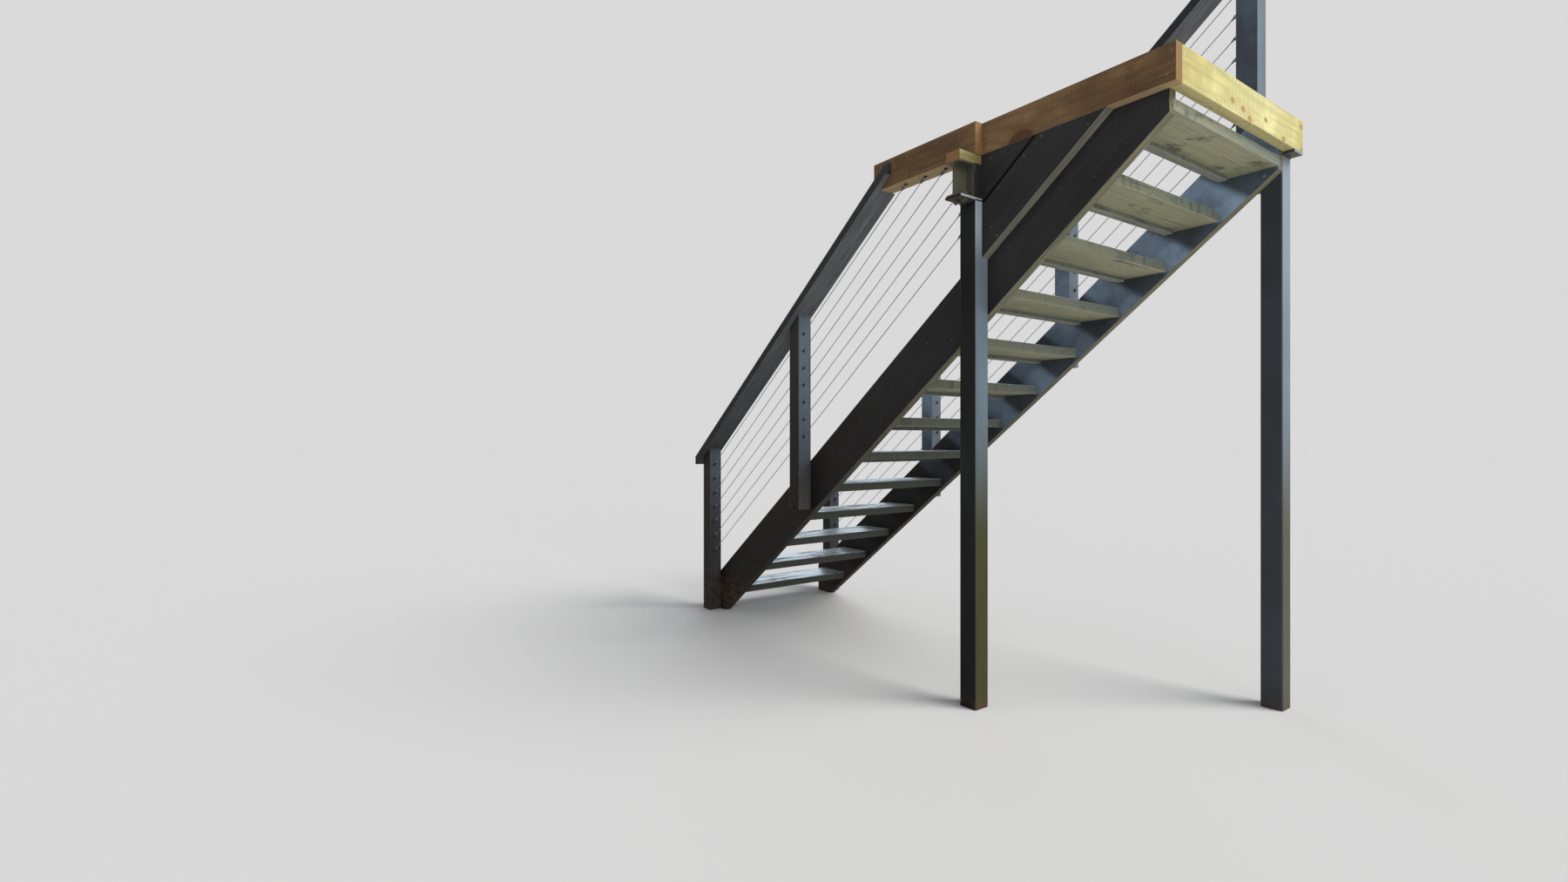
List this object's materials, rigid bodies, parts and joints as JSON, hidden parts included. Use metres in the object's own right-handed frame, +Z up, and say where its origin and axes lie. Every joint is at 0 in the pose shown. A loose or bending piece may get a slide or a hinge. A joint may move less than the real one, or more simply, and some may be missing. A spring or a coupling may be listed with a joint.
{
  "type": "deck stair",
  "caption": "Straight open-riser timber stair with housed treads, flat handrails on bored posts, tensioned wire infill and steel posts under the stairwell edge",
  "frame": {"origin": "Middle of the footprint, on the floor that the stringers' feet stand on.", "axes": "+Y climbs along the flight, +X is the side of the stairwell trimmer, +Z is up."},
  "size_m": [1.299, 3.29, 3.587],
  "materials": {
    "painted_timber": "weathered charcoal paint",
    "tread_timber": "weathered, unpainted",
    "sawn_pine": "rough sawn",
    "painted_steel": "charcoal enamel",
    "wire": "stranded wire"
  },
  "bodies": {
    "root": {"stringer_house_side": "painted_timber", "stringer_garden_side": "painted_timber", "newel_post_house_side": "painted_timber", "mid_post_house_side": "painted_timber", "handrail_house_side": "painted_timber", "newel_post_garden_side": "painted_timber", "lower_post_garden_side": "painted_timber", "upper_post_garden_side": "painted_timber", "top_post_garden_side": "painted_timber", "handrail_garden_side": "painted_timber", "cover_board_lower": "painted_timber", "cover_board_upper": "painted_timber", "cover_cleat": "painted_timber", "end_block": "painted_timber", "tread_01": "tread_timber", "tread_02": "tread_timber", "tread_03": "tread_timber", "tread_04": "tread_timber", "tread_05": "tread_timber", "tread_06": "tread_timber", "tread_07": "tread_timber", "tread_08": "tread_timber", "tread_09": "tread_timber", "tread_10": "tread_timber", "tread_11": "tread_timber", "tread_12": "tread_timber", "tread_13": "tread_timber", "nosing_strips": "tread_timber", "inner_trimmer": "sawn_pine", "outer_trimmer": "sawn_pine", "deck_rim_joist": "sawn_pine", "beam_packer": "sawn_pine", "steel_post_house_side": "painted_steel", "steel_post_garden_side": "painted_steel", "beam_end": "painted_steel", "wires_house_side": "wire", "wires_garden_side": "wire"}
  },
  "joints": []
}
